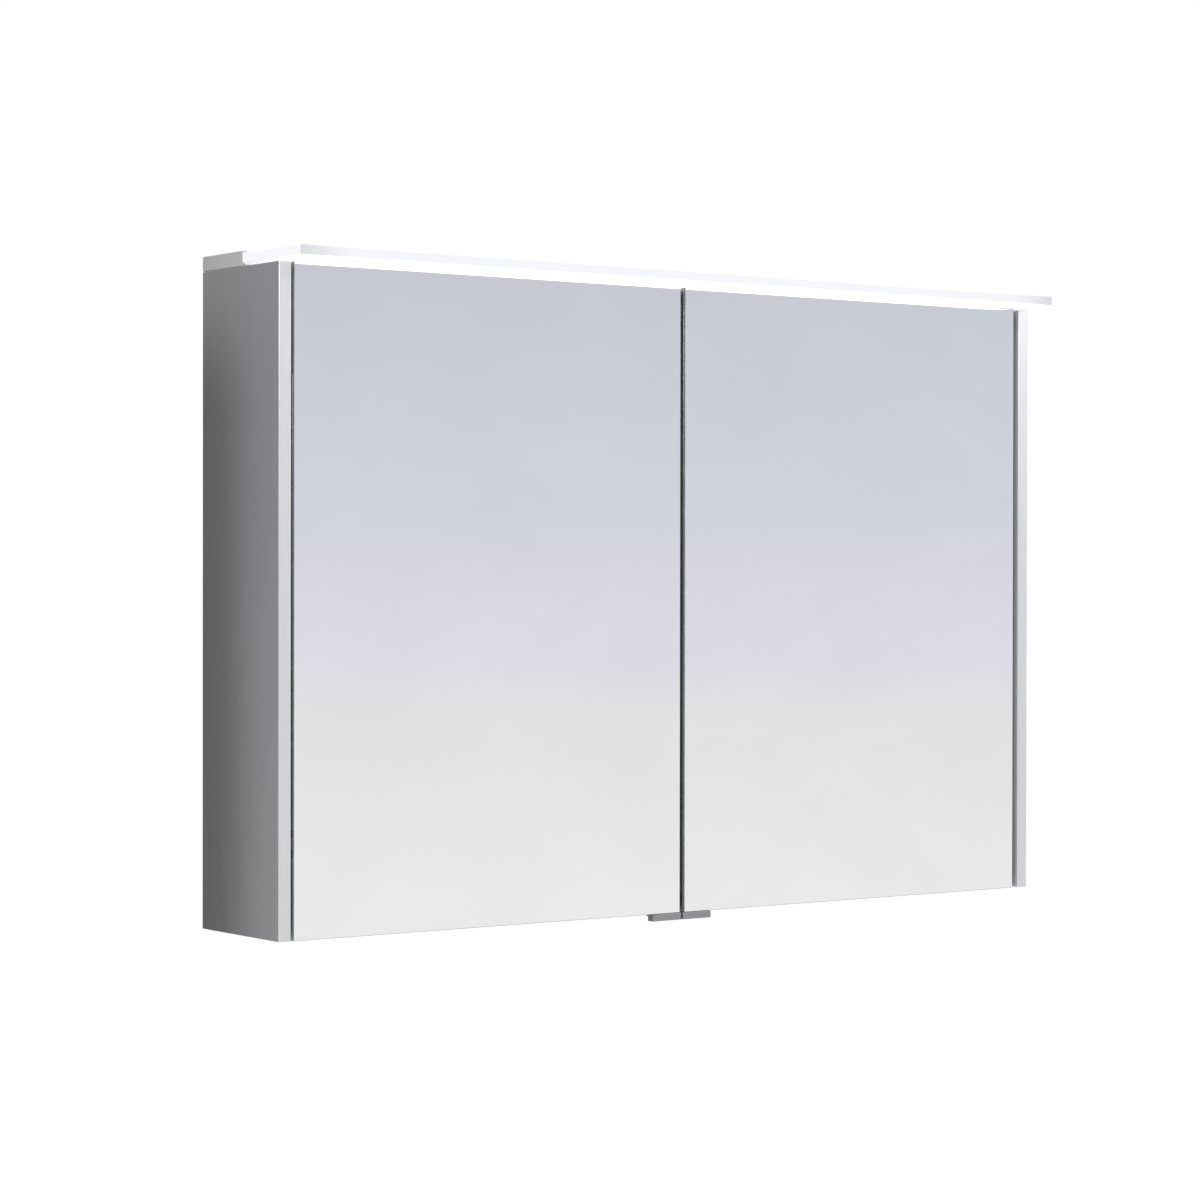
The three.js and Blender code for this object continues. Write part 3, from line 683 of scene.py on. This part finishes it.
def add_floor():
    """A pale floor, as far below the cabinet as over a washbasin."""
    solid = bmesh.new()
    bmesh.ops.create_circle(solid, cap_ends=True, radius=FLOOR_REACH, segments=96)
    settings = {"Roughness": 0.7, "Emission_Color": linear("#ffffff"), "Emission_Strength": 0.42}
    material, tree, shader = new_material("floor_pale", **settings)
    drift = speckle(tree, (400, 400, 400))
    tree.links.new(tones(tree, drift, "#f4f4f4", "#f8f8f8"), shader.inputs["Base Color"])
    floor = as_object(solid, "floor", material)
    floor.location.z = CAD_BOX[0].z - FLOOR_DROP
    floor.visible_glossy = False


def add_backdrop():
    """A white dome round the studio, which the light of the world and the lamps passes through."""
    solid = bmesh.new()
    bmesh.ops.create_uvsphere(solid, u_segments=48, v_segments=24, radius=BACKDROP_REACH)
    dome = as_object(solid, "backdrop", emitting("backdrop_white", "#ffffff", 1.0))
    seen_only_by(dome, "camera", "transmission")


# The flags, in metres: how far they reach out from a side panel, past the cabinet's bottom and its top,
# the height of their paler top, and how far off a surface can be and still see them.
FLAG_WIDTH = 0.062
FLAG_BELOW = 0.3
FLAG_ABOVE = 0.1
FLAG_FADE = 0.16
FLAG_REACH = 0.3
FLAG_GAP = 0.002  # between a flag and the side panel's plane
FLAG_FRONT = 0.010  # the card's two faces, behind the wall's plane
FLAG_BACK = 0.012


def flag_material(fade_from, fade_to):
    """Dark grey card, paler between two heights towards its top. It is seen only from close by, so that
    the open doors' mirrors don't show it."""
    material = bpy.data.materials.new("flag_card")
    material.use_nodes = True
    tree = material.node_tree
    tree.nodes.clear()
    distance = add(tree, "ShaderNodeLightPath").outputs["Ray Length"]
    near = add(tree, "ShaderNodeMath", {0: distance, 1: FLAG_REACH}, operation="LESS_THAN").outputs[0]
    place = add(tree, "ShaderNodeSeparateXYZ", {0: add(tree, "ShaderNodeTexCoord").outputs["Object"]})
    height = {"Value": place.outputs["Z"], "From Min": fade_from, "From Max": fade_to}
    share = add(tree, "ShaderNodeMapRange", height, interpolation_type="SMOOTHSTEP").outputs[0]
    colours = {0: share, 6: linear("#6b6b6b"), 7: linear("#9a9a9a")}
    colour = add(tree, "ShaderNodeMix", colours, data_type="RGBA").outputs[2]
    card = add(tree, "ShaderNodeEmission", {"Color": colour}).outputs[0]
    clear = add(tree, "ShaderNodeBsdfTransparent").outputs[0]
    both = add(tree, "ShaderNodeMixShader", {0: near, 1: clear, 2: card}).outputs[0]
    add(tree, "ShaderNodeOutputMaterial", {"Surface": both})
    return material


def add_flags():
    """A dark card beside each side panel's back edge, which shades the panel towards the wall."""
    low, high = CAD_BOX
    material = flag_material(high.z - FLAG_FADE, high.z)
    for side, sign in SIDES.items():
        inner, outer = sorted((sign * (high.x + FLAG_GAP), sign * (high.x + FLAG_WIDTH)))
        solid = bmesh.new()
        corner = (inner, FLAG_FRONT, low.z - FLAG_BELOW)
        add_block(solid, corner, (outer, FLAG_BACK, high.z + FLAG_ABOVE))
        flag = as_object(solid, f"flag_{side}", material)
        seen_only_by(flag, "diffuse", "glossy")


# What the doors show of the studio, from below to above: elevation in degrees and colour.
HORIZON = [(-5.6, "#e9e9e9"), (-2.6, "#e1e1e2"), (-1.3, "#dbd9e4"), (-0.2, "#d8d6e1"), (0.9, "#d0d3dd"),
           (3.4, "#caced7"), (5.4, "#c5c8d1")]
OVERHEAD = (30, "#f4f5f7")
MIRROR_LOSS = 1.10  # how much brighter the studio is than its reflection
BEHIND = 0.51  # brightness behind the cabinet, as a share of that in front


def light_from_all_round():
    """A world of soft greys, swept from below to above, and darker behind the cabinet than in front."""
    world = bpy.data.worlds.new("studio")
    bpy.context.scene.world = world
    world.use_nodes = True
    tree = world.node_tree
    sight = add(tree, "ShaderNodeTexCoord").outputs["Generated"]
    direction = add(tree, "ShaderNodeSeparateXYZ", {0: sight})
    colour = linear(HORIZON[0][1])
    stops = HORIZON + [OVERHEAD]
    for (low, _), (high, upper) in zip(stops, stops[1:]):
        rise = {"Value": direction.outputs["Z"], "From Min": math.sin(math.radians(low)),
                "From Max": math.sin(math.radians(high))}
        share = add(tree, "ShaderNodeMapRange", rise).outputs[0]
        mix = add(tree, "ShaderNodeMix", {0: share, 6: colour, 7: linear(upper)}, data_type="RGBA")
        colour = mix.outputs[2]
    depth = {"Value": direction.outputs["Y"], "From Min": -0.05, "From Max": 0.45,
             "To Min": MIRROR_LOSS, "To Max": MIRROR_LOSS * BEHIND}
    strength = add(tree, "ShaderNodeMapRange", depth, interpolation_type="SMOOTHSTEP").outputs[0]
    background = tree.nodes["Background"]
    tree.links.new(colour, background.inputs["Color"])
    tree.links.new(strength, background.inputs["Strength"])


def add_softbox(name, place, size, watts):
    """A rectangular soft light, aimed at the cabinet's middle."""
    lamp = bpy.data.lights.new(name, "AREA")
    lamp.shape = "RECTANGLE"
    lamp.size, lamp.size_y = size
    lamp.energy = watts
    box = bpy.data.objects.new(name, lamp)
    bpy.context.scene.collection.objects.link(box)
    middle = (CAD_BOX[0] + CAD_BOX[1]) / 2
    box.location = place
    box.rotation_euler = (middle - Vector(place)).to_track_quat("-Z", "Y").to_euler()
    box.visible_camera = False


# ---- build ---------------------------------------------------------------------------------------

add_camera()
bpy.context.scene.view_settings.view_transform = "Standard"

skin = satin_anodised_skin("satin_anodised_skin", UPRIGHT, "#cdcecf", "#d3d4d5")
# The side panels' edges: the same anodised skin made lighter, as painted light that makes the front
# edges look brighter than the sides.
painted_light_edge_skin = satin_anodised_skin("satin_anodised_front_edge_painted_lighter", UPRIGHT, "#dcdddd", "#e1e2e2")
long_skin = satin_anodised_skin("satin_anodised_skin_lengthways", LENGTHWAYS, "#cdcecf", "#d3d4d5")
profile = drawn_aluminium()
mirror = silvered_mirror()
glass_edge = ground_glass_edge()
steel = zinc_plated_steel()
mirror_edge = backed_mirror_edge()
abs_white = moulded_abs("white_moulded_abs", "#e9e9e5", "#f3f3f0")
cap_abs = moulded_abs("silver_grey_moulded_abs", "#aaaaa7", "#b4b4b1")
rubber = moulded_rubber()
plated = nickel_plated_hinge()
lacquer = lacquered_fibreboard()
screw = screw_mesh(steel)

finish_body(skin, painted_light_edge_skin, long_skin, lacquer, melamine_board(), screw)
finish_wall_fixing(steel, rubber, screw)
finish_shelves(clear_shelf_glass(), glass_edge, profile)
finish_light(profile, cap_abs, edge_lit_acrylic(), solder_mask(), led_phosphor(), abs_white)
finish_electrics(abs_white, rubber, plated, screw)
finish_hinges(plated, screw)
finish_doors(mirror, mirror_edge, profile, lacquer, bead_blasted_grip())
finish_buffers(cast_polyurethane())

add_floor()
add_backdrop()
add_flags()
light_from_all_round()
# Three soft lights: place and size in metres, and watts.
add_softbox("key", (-1.6, -3.2, 1.9), (1.8, 1.2), 55)
add_softbox("fill", (2.6, -2.4, 1.4), (1.6, 1.6), 26)
add_softbox("back", (0.3, 3.0, 1.6), (2.0, 1.4), 35)
